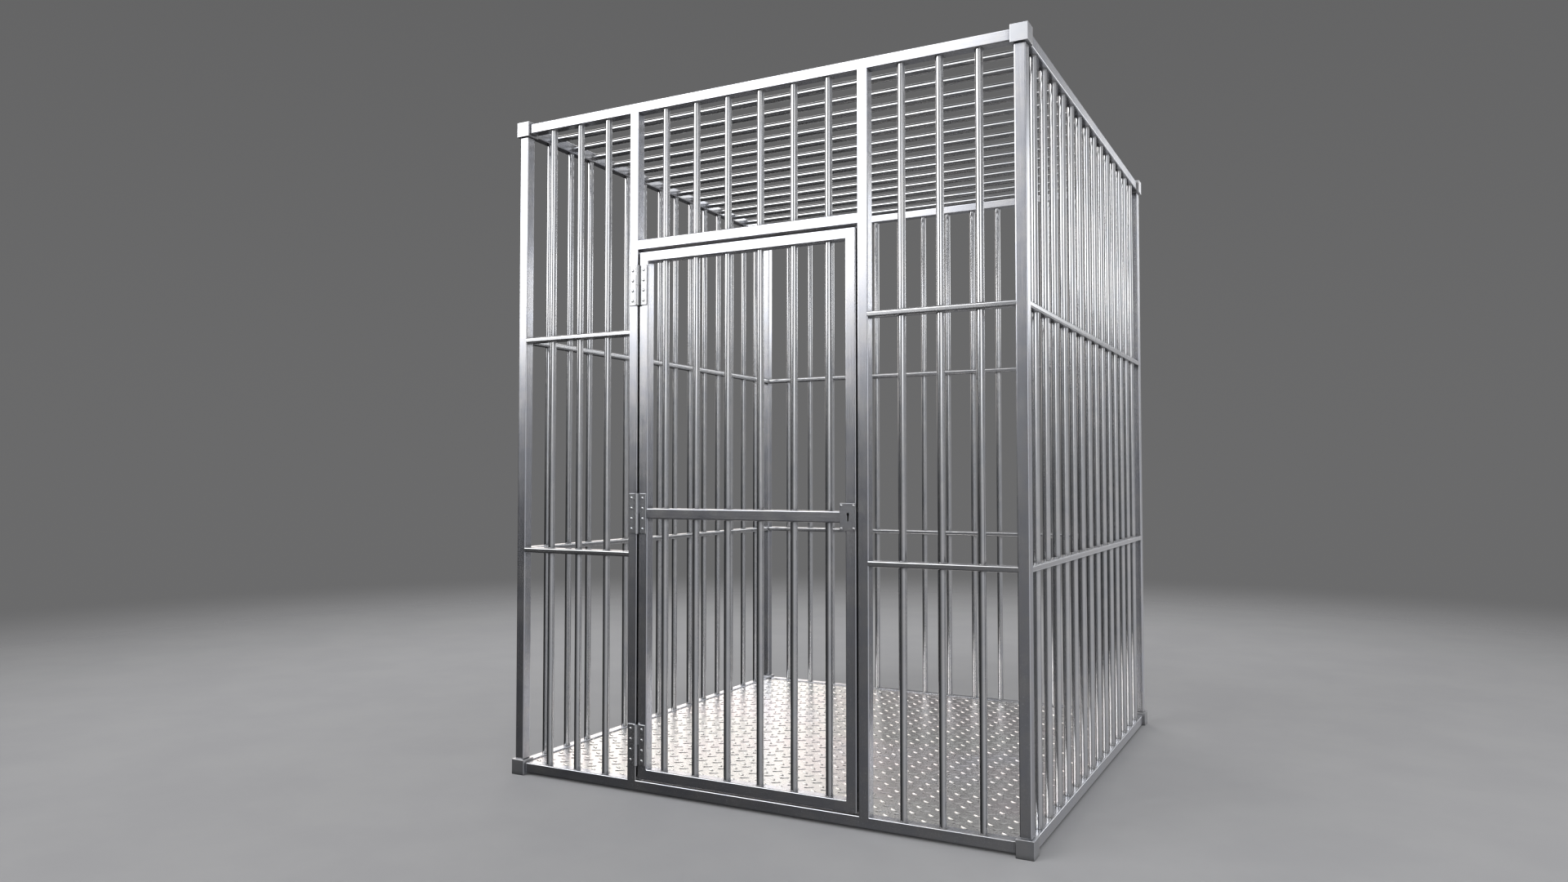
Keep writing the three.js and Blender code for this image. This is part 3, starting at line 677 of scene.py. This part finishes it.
# ------------------------------------------------------------------ roof bars
for node, y in zip(ROOF_NODES, BAR_YS):
    bar = make(node.replace("roof_bar", "roofbar"),
               [bar_shell("x", IN_LEFT, IN_RIGHT, (0, y, centre_mm(node)[2]))],
               [bar_steel["x"], weld_steel])
    piece(bar, "frame", "bar_steel", node)

# ------------------------------------------------------------------ tread plate
HALF_X, HALF_Y = 65.0 / 2, 65.25 / 2      # half the pitch within one family of lugs
LUG_X, LUG_Y = 374.7, -602.85             # one lug of the first family
LUG_L, LUG_W, LUG_H = 18.5, 7.4, 2.3      # half length, half width, height
LUG_TURNS = (-36, 34)                     # degrees, first and second family
LUG_POINTS = 12
# rings up a lug: length scale, width scale, height
LUG_STEPS = ((1.0, 1.0, 0.0), (0.95, 0.84, 0.24 * LUG_H), (0.84, 0.44, 0.80 * LUG_H),
             (0.62, 0.14, LUG_H))
FLOOR_LOW, FLOOR_HIGH = box_mm("floor_tread_plate")


def tread_slab():
    """Sheet with crossed lens-shaped lugs, built cell by cell so that it is one closed skin.

    Every lug sits in a diamond cell whose corners it shares with its neighbours.
    """
    top = FLOOR_HIGH[2]
    angle = 2 * np.pi * np.arange(LUG_POINTS) / LUG_POINTS
    lens = np.stack([LUG_L * np.cos(angle),
                     LUG_W * np.sin(angle) * np.abs(np.sin(angle)) ** 0.25], 1)
    diamond = np.array([[HALF_X, 0], [0, HALF_Y], [-HALF_X, 0], [0, -HALF_Y]])
    points, faces, shared = [], [], {}

    def corner(i, j):
        if (i, j) not in shared:
            shared[(i, j)] = len(points)
            points.append((LUG_X + i * HALF_X, LUG_Y + j * HALF_Y, top))
        return shared[(i, j)]

    def add_cell(i, j):
        turn = LUG_TURNS[i % 2]
        rotation = np.array([[cos_deg(turn), sin_deg(turn)], [-sin_deg(turn), cos_deg(turn)]])
        centre = np.array([LUG_X + i * HALF_X, LUG_Y + j * HALF_Y])
        first = len(points)
        for length, width, height in LUG_STEPS:
            ring = (lens * [length, width]) @ rotation + centre
            points.extend((x, y, top + height) for x, y in ring)
        corners = [corner(i + 1, j), corner(i, j + 1), corner(i - 1, j), corner(i, j - 1)]
        # the flat round the lug: each side of the lens joins the corner it faces
        foot = lens @ rotation
        facing = []
        for k in range(LUG_POINTS):
            x, y = foot[(k + 1) % LUG_POINTS] - foot[k]
            facing.append(int(np.argmax(diamond @ np.array([y, -x]))))
        for k in range(LUG_POINTS):
            before, now = facing[k - 1], facing[k]
            while before != now:
                after = (before + 1) % 4
                faces.append((first + k, corners[before], corners[after]))
                before = after
            faces.append((first + k, corners[now], first + (k + 1) % LUG_POINTS))
        for step in range(len(LUG_STEPS) - 1):
            here = first + LUG_POINTS * step
            there = here + LUG_POINTS
            for k in range(LUG_POINTS):
                after = (k + 1) % LUG_POINTS
                faces.append((here + k, here + after, there + after, there + k))
        faces.append(tuple(there + k for k in range(LUG_POINTS)))

    i_start = math.floor((FLOOR_LOW[0] - LUG_X) / HALF_X) - 2
    i_stop = math.ceil((FLOOR_HIGH[0] - LUG_X) / HALF_X) + 2
    j_start = math.floor((FLOOR_LOW[1] - LUG_Y) / HALF_Y) - 2
    j_stop = math.ceil((FLOOR_HIGH[1] - LUG_Y) / HALF_Y) + 2
    for i in range(i_start, i_stop + 1):
        for j in range(j_start, j_stop + 1):
            if (i + j) % 2 == 0:
                add_cell(i, j)

    # skirt and underside, from the open border of the skin
    sides = {side: True for face in faces for side in zip(face, face[1:] + face[:1])}
    follow = {a: b for a, b in sides if (b, a) not in sides}
    start = next(iter(follow))
    border = [start]
    while follow[border[-1]] != start:
        border.append(follow[border[-1]])
    first, count = len(points), len(border)
    points += [(points[i][0], points[i][1], top - 12) for i in border]
    for k in range(count):
        after = (k + 1) % count
        faces.append((border[after], border[k], first + k, first + after))
    faces.append(tuple(first + k for k in range(count - 1, -1, -1)))
    return np.array(points), faces, 0, None


def sheet_shell():
    """Block in the plan of the floor, with a square notch round each corner fitting."""
    (x0, y0, z0), (x1, y1, z1) = FLOOR_LOW, FLOOR_HIGH
    notch = (BLOCK - TUBE) / 2 + 1
    plan = np.array([
        (x1, y1 - notch), (x1 - notch, y1 - notch), (x1 - notch, y1),
        (x0 + notch, y1), (x0 + notch, y1 - notch), (x0, y1 - notch),
        (x0, y0 + notch), (x0 + notch, y0 + notch), (x0 + notch, y0),
        (x1 - notch, y0), (x1 - notch, y0 + notch), (x1, y0 + notch)])
    return prism("z", plan, (z0, z1 + 8), (0, 0, 0))


plate = make("tread_plate", [tread_slab()], [tread_material(FLOOR_HIGH[2] * MM)], polished=False)
cut(plate, "INTERSECT", "sheet", [sheet_shell()], sharp=21)
plate.modifiers.clear()
piece(plate, "frame", "tread_plate", "floor_tread_plate")

# ------------------------------------------------------------------ door frame
PLATE_LOW, PLATE_HIGH = box_mm("lock_face_plate")
KEY_X, _, PLATE_Z = centre_mm("lock_face_plate")
KEY_Z = PLATE_Z + 8.0
KEY_R, KEY_HALF, KEY_DROP = 5.0, 2.5, 21     # keyhole: eye radius, half width and depth of its leg
ARC_STEPS = 4


def frame_ring(out, y):
    """Rounded rectangle at a distance out from the door's clear opening."""
    x0, x1 = DOOR_X0 + TUBE - out, DOOR_X1 - TUBE + out
    z0, z1 = DOOR_Z0 + TUBE - out, DOOR_Z1 - TUBE + out
    radius = 3.2 + 1.8 * out / TUBE
    points = []
    for x, z, start in ((x1 - radius, z1 - radius, 0), (x0 + radius, z1 - radius, 90),
                        (x0 + radius, z0 + radius, 180), (x1 - radius, z0 + radius, 270)):
        for i in range(ARC_STEPS + 1):
            angle = start + 90 * i / ARC_STEPS
            points.append((x + radius * cos_deg(angle), y, z + radius * sin_deg(angle)))
    return np.array(points)


def frame_skin(size, radius):
    """Square section swept round the door, facing out."""
    section, edge = outline(size, size, radius)
    rings = [frame_ring(x + TUBE / 2, FRONT_Y + y) for x, y in section]
    count = len(rings[0])
    # slot 0 on the stiles, 1 on the rails; the change comes halfway round each corner
    slots = []
    for j in range(count):
        quarter, part = divmod(j, ARC_STEPS + 1)
        slots.append(int((part < 2) != (quarter in (0, 2))))
    weights = [weight for weight in edge for _ in range(count)]
    return outward(loft(rings, loop=True, slot=slots * len(rings), edge=weights))


def key_ring(grow, y):
    """Keyhole outline: a round eye with a straight leg below."""
    radius, half = KEY_R + grow, KEY_HALF + grow
    points = [(-half, -KEY_DROP - grow), (half, -KEY_DROP - grow)]
    start = math.acos(min(1, half / radius))
    for k in range(25):
        angle = -start + (math.pi + 2 * start) * k / 24
        points.append((radius * math.cos(angle), radius * math.sin(angle)))
    return np.array([(KEY_X + x, y, KEY_Z + z) for x, z in points])


def door_frame():
    inner = flipped(frame_skin(TUBE - 2 * WALL, INNER_R))
    door = make("door_frame", [frame_skin(TUBE, TUBE_R), inner[:3] + (None,)],
                [frame_steel["z"], frame_steel["x"]], polished=False)
    keyhole = outward(loft([key_ring(1.0, y) for y in (FRONT_FACE - 3, FRONT_FACE + WALL + 2)]))
    slot, _ = outline(BOLT_D + 0.8, BOLT_H + 0.8, 0.6, steps=3, margin=0.4)
    bolt_slot = prism("x", slot, (DOOR_X1 - WALL - 2, DOOR_X1 + 3), BOLT_CENTRE)
    cut(door, "DIFFERENCE", "holes", [keyhole, bolt_slot])
    piece(door, "door", "frame_steel", "door_stile_hinge_side", "door_stile_lock_side",
          "door_rail_top", "door_rail_bottom")


def door_grille():
    """Middle rail of the door with the bars that pass through it."""
    z = (DOOR_Z0 + DOOR_Z1) / 2
    rail = tube_shell("x", DOOR_X0 + TUBE - RUN_IN, DOOR_X1 - TUBE + RUN_IN,
                      ((DOOR_X0 + DOOR_X1) / 2, FRONT_Y, z), chamfer=0)
    grille = make("door_middle_rail_and_bars", [rail],
                  [frame_steel["x"], bar_steel["z"], weld_steel], polished=False)
    crossing = [(z - TUBE / 2, z + TUBE / 2)]
    cut(grille, "UNION", "door_bars",
        [bar_shell("z", DOOR_Z0 + TUBE, DOOR_Z1 - TUBE, (x, FRONT_Y, 0), crossing, slot=1)
         for x in DOOR_BAR_XS])
    piece(grille, "door", "bar_steel", "door_grille_with_middle_rail")


door_frame()
door_grille()

# ------------------------------------------------------------------ hinges
HINGE_X = (OPEN_X0 + DOOR_X0) / 2
KNUCKLE_R, BORE_R, PIN_R = 8.5, 4.25, 3.85
LEAF_BACK = FRONT_FACE - 0.3
LEAF_FRONT = LEAF_BACK - 3.0
LEAF_NEAR = KNUCKLE_R + 0.7               # from the hinge axis to the leaf
RIVET_OFF, RIVET_PITCH = 23.75, 36.7      # from the hinge axis, and up the leaf
# rounding at the ends of a knuckle: distance from the end, loss of radius
KNUCKLE_END = ((0, 0.7), (0.25, 0.2), (0.8, 0))
# the same for the pin's lower and upper ends
PIN_FOOT = ((0, 1.2), (0.4, 0.5), (1.2, 0))
PIN_HEAD = ((3.2, 0), (1.4, 0.6), (0.4, 1.5), (0, 2.6))


def hinge_leaf(which, leaf, side, y):
    """Riveted leaf with half the knuckle: the door's is the upper half, the frame's the lower."""
    node = f"hinge_{which}_{leaf}_leaf"
    low, high = box_mm(node)
    middle = (low[2] + high[2]) / 2
    reach = abs((high if side > 0 else low)[0] - HINGE_X)
    x0, x1 = sorted((HINGE_X + side * LEAF_NEAR, HINGE_X + side * reach))
    plate = plate_shell(x0, x1, low[2], high[2], LEAF_FRONT, LEAF_BACK, radius=2.6, bevel=2.0)
    obj = make(f"hinge_{which}_leaf_{leaf}", [plate], [hinge_steel, rivet_steel], polished=False)
    z0, z1 = (middle + 0.3, high[2]) if side > 0 else (low[2], middle - 0.3)
    # web: a strip that joins the leaf to its knuckle
    x0, x1 = sorted((HINGE_X + side * 4.7, HINGE_X + side * (LEAF_NEAR + 1.2)))
    web = plate_shell(x0, x1, z0 + 0.2, z1 - 0.2, LEAF_FRONT + 0.02, LEAF_BACK - 0.02,
                      radius=0.3, bevel=0.1)
    cut(obj, "UNION", "web", [web])
    profile = [(z0 + distance, KNUCKLE_R - loss) for distance, loss in KNUCKLE_END]
    profile += [(z1 - distance, KNUCKLE_R - loss) for distance, loss in reversed(KNUCKLE_END)]
    axis_at = (HINGE_X, y, 0)
    cut(obj, "UNION", "knuckle", [outward(turned("z", profile, axis_at, count=40))])
    cut(obj, "UNION", "rivets",
        [rivet_shell(HINGE_X + side * RIVET_OFF, middle + (k - 1.5) * RIVET_PITCH, LEAF_FRONT)
         for k in range(4)])
    bore = turned("z", ((z0 - 5, BORE_R), (z1 + 5, BORE_R)), axis_at)
    cut(obj, "DIFFERENCE", "bore", [bore], sharp=32)
    piece(obj, leaf, "hinge_steel", node)


for which in ("lower", "middle", "upper"):
    node = f"hinge_{which}_pin"
    low, high = box_mm(node)
    y = (low[1] + high[1]) / 2
    hinge_leaf(which, "frame", -1, y)
    hinge_leaf(which, "door", 1, y)
    profile = [(low[2] + distance, PIN_R - loss) for distance, loss in PIN_FOOT]
    profile += [(high[2] - distance, PIN_R - loss) for distance, loss in PIN_HEAD]
    pin = make(f"hinge_{which}_pivot", [turned("z", profile, (HINGE_X, y, 0))], [rivet_steel])
    piece(pin, "frame", "hinge_steel", node)


# ------------------------------------------------------------------ lock
def lock_plate():
    """Bevelled plate with a dished keyhole and a rivet in each corner."""
    back = PLATE_HIGH[1]
    front = back - 2.0
    shell = plate_shell(PLATE_LOW[0], PLATE_HIGH[0], PLATE_LOW[2], PLATE_HIGH[2], front, back,
                        radius=1.8, bevel=1.1)
    plate = make("lock_plate", [shell], [lock_steel, rivet_steel], polished=False)
    # growth of the keyhole outline, y
    dish = ((1.6, front - 0.6), (1.0, front - 0.001), (0.35, front + 0.5), (0.0, front + 1.0),
            (0.0, back + 1))
    cut(plate, "DIFFERENCE", "key", [outward(loft([key_ring(grow, y) for grow, y in dish]))])
    width, _, height = PLATE_HIGH - PLATE_LOW
    rivets = [rivet_shell(KEY_X + i * (width / 2 - 6.6), PLATE_Z + j * (height / 2 - 7.5), front,
                          radius=4.3)
              for i in (-1, 1) for j in (-1, 1)]
    cut(plate, "UNION", "rivets", rivets, sharp=32)
    piece(plate, "door", "lock_steel", "lock_face_plate")


lock_plate()
for node, width in (("lock_case", 0.35), ("lock_bolt", 0.6)):
    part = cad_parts[node]
    part.data.materials.clear()
    part.data.materials.append(inner_steel)
    bevel = part.modifiers.new("edges", "BEVEL")
    bevel.width, bevel.segments = width * MM, 2
    bevel.limit_method, bevel.angle_limit = "ANGLE", math.radians(35)


# ------------------------------------------------------------------ stage
# Headings are in degrees in plan: 0 is +Y, 90 is +X.
def bearing(tree, x, y, heading):
    """Cosine of the angle in plan between a direction and a heading."""
    squares = tree.math("ADD", tree.math("MULTIPLY", x, x), tree.math("MULTIPLY", y, y))
    flat = tree.math("MAXIMUM", tree.math("SQRT", squares), 1e-4)
    dot = tree.math("ADD", tree.math("MULTIPLY", x, sin_deg(heading)),
                    tree.math("MULTIPLY", y, cos_deg(heading)))
    return tree.math("DIVIDE", dot, flat)


def shade(tree, x, y, heading, full, end, least):
    """least within full degrees of a heading, 1 beyond end degrees."""
    return tree.span(bearing(tree, x, y, heading), start=cos_deg(end), stop=cos_deg(full),
                     low=1.0, high=least)


def ground_tone(tree, x, y):
    """What the ground shows in polished steel: dark away to the left, lighter to the right."""
    tone = tree.span(bearing(tree, x, y, heading=80), start=-0.95, stop=0.65, low=0.035, high=0.50)
    left = shade(tree, x, y, heading=-65, full=28, end=62, least=0.30)
    right = shade(tree, x, y, heading=33, full=9, end=21, least=0.44)
    return tree.math("MULTIPLY", tree.math("MULTIPLY", tone, left), right)


PALE = ((0.56, 0.56, 0.565, 1), (0.59, 0.59, 0.59, 1))


def stage_floor():
    """Pale ground that fades into the backdrop; reflections see an emission in the ground's tone in
    place of the lit floor, a painted reflection, with painted shade near the cage.
    """
    size, z = 60.0, -0.0002
    mesh = bpy.data.meshes.new("studio_floor")
    mesh.from_pydata([(-size, -size, z), (size, -size, z), (size, size, z), (-size, size, z)],
                     [], [(0, 1, 2, 3)])
    obj = bpy.data.objects.new("studio_floor", mesh)
    LINK(obj)
    material = bpy.data.materials.new("studio_floor")
    tree = Tree(material)
    place_in = tree.object_place()
    x, y, _ = tree.split(place_in)
    far = tree.math("SQRT", tree.math("ADD", tree.math("POWER", x, 2.0),
                                      tree.math("POWER", y, 2.0)))
    grain = tree.noise(place_in, detail=4, rough=0.6, scale=2.0)
    matt = tree.node("ShaderNodeBsdfDiffuse")
    tree.put(matt.inputs["Color"], tree.mix(tree.span(grain, start=0.3, stop=0.7), *PALE))
    clear = tree.node("ShaderNodeBsdfTransparent")
    seen = tree.mix_shader(tree.span(far, start=2.6, stop=8.5), matt.outputs[0], clear.outputs[0])
    # painted reflection: glossy rays see this emission in the ground's tone, not the lit floor
    mirrored = tree.node("ShaderNodeEmission")
    tree.put(mirrored.inputs["Color"], (0.975, 0.975, 1.01, 1))
    incoming = tree.node("ShaderNodeNewGeometry").outputs["Incoming"]
    x, y, _ = tree.split(tree.scaled(incoming, (-1, -1, -1)))
    # painted shade: the reflected ground is darker near the cage
    painted_shade_near_cage = tree.span(far, start=0.9, stop=2.4, low=0.80)
    tree.put(mirrored.inputs["Strength"], tree.math("MULTIPLY", ground_tone(tree, x, y), painted_shade_near_cage))
    glossy = tree.node("ShaderNodeLightPath").outputs["Is Glossy Ray"]
    tree.finish("ShaderNodeOutputMaterial", tree.mix_shader(glossy, seen, mirrored.outputs[0]))
    mesh.materials.append(material)


def studio():
    """Soft studio light: wide softboxes in the world's sky, and an even grey backdrop."""
    world = bpy.data.worlds.new("studio")
    SCENE.world = world
    tree = Tree(world)
    x, y, z = tree.split(tree.node("ShaderNodeTexCoord").outputs["Generated"])

    ground = ground_tone(tree, x, y)
    low_sky = tree.plus(0.07, ground, share=0.8)
    below = tree.math("MULTIPLY", ground, tree.span(z, start=-0.01, stop=0.03, low=1.0, high=0.0))
    above = tree.math("MULTIPLY", low_sky, tree.span(z, start=-0.01, stop=0.03))
    sky = tree.math("ADD", below, above)
    sky = tree.math("MULTIPLY", sky, tree.span(z, start=0.35, stop=0.75, low=1.0, high=0.30))
    total = tree.tint((0.972, 0.978, 1.01), sky)

    def softbox(total, heading, half, soft, low, high, colour, power,
                tilt=0.0, pivot=None, drop=0.0):
        """total plus a softbox: half-width and softness in degrees, elevations as (start, full) at
        the bottom and (full, end) at the top. tilt raises it away from the heading pivot, and
        drop lowers its top edge there."""
        side = tree.span(bearing(tree, x, y, heading), start=cos_deg(min(180, half + soft)),
                         stop=cos_deg(half))
        bottom = top = z
        if pivot is not None:
            away = tree.math("SUBTRACT", 1.0, bearing(tree, x, y, pivot))
            bottom = tree.math("MULTIPLY_ADD", away, -tilt, z)
            top = tree.math("MULTIPLY_ADD", away, drop, bottom)
        rise = tree.span(bottom, start=sin_deg(low[0]), stop=sin_deg(low[1]))
        fall = tree.span(top, start=sin_deg(high[0]), stop=sin_deg(high[1]))
        lit = tree.math("MULTIPLY", rise, tree.math("SUBTRACT", 1.0, fall))
        light = tree.math("MULTIPLY", tree.math("MULTIPLY", side, lit), power)
        return tree.vector("ADD", total, tree.tint(colour, light))

    # key, front left
    total = softbox(total, heading=-137, half=19, soft=8, low=(5.2, 9.6), high=(27, 38),
                    tilt=0.5, pivot=-131, colour=(1.0, 1.0, 1.02), power=3.3)
    # front right
    total = softbox(total, heading=146, half=9, soft=7, low=(5.5, 9.5), high=(17, 25),
                    tilt=-0.5, pivot=120, colour=(0.99, 0.995, 1.02), power=2.1)
    # back left
    total = softbox(total, heading=-39, half=12, soft=4, low=(0.5, 6), high=(30, 42),
                    colour=(1.0, 0.935, 0.90), power=1.65)
    # low strip, back right
    total = softbox(total, heading=30, half=10.3, soft=7.5, low=(6.0, 9.4), high=(15, 20),
                    pivot=13, drop=0.85, colour=(0.99, 1.0, 1.02), power=2.9)
    # high fill, right and back
    total = softbox(total, heading=70, half=100, soft=15, low=(24, 36), high=(62, 80),
                    colour=(0.98, 0.99, 1.02), power=0.50)
    # high, back left
    total = softbox(total, heading=-41, half=13, soft=7, low=(27, 33), high=(43, 50),
                    colour=(1.0, 0.98, 0.965), power=1.5)
    # high, in front
    total = softbox(total, heading=-166, half=24, soft=20, low=(16, 36), high=(42, 68),
                    colour=(0.99, 0.995, 1.02), power=1.25)

    # the camera sees the backdrop in place of the softboxes
    backdrop = tree.span(z, start=-0.05, stop=0.75, low=0.145, high=0.115)
    mix = tree.node("ShaderNodeMix", data_type="VECTOR")
    tree.put(mix.inputs[0], tree.node("ShaderNodeLightPath").outputs["Is Camera Ray"])
    tree.put(mix.inputs[4], total)
    tree.put(mix.inputs[5], tree.tint((1.0, 1.0, 1.01), backdrop))
    background = tree.node("ShaderNodeBackground")
    tree.put(background.inputs["Color"], mix.outputs[1])
    tree.finish("ShaderNodeOutputWorld", background.outputs[0])


def camera():
    """Eye-level view of the door side from the front right."""
    lens = bpy.data.cameras.new("camera")
    obj = bpy.data.objects.new("camera", lens)
    LINK(obj)
    lens.sensor_width = 36.0
    lens.lens = 24.49
    lens.clip_start, lens.clip_end = 0.05, 200.0
    obj.location = (1.8257, -4.1387, 1.1223)
    obj.rotation_euler = (math.radians(92.0), 0.0, math.radians(27.785))
    SCENE.camera = obj


stage_floor()
studio()
camera()
SCENE.view_settings.view_transform = "Standard"
SCENE.view_settings.look = "None"
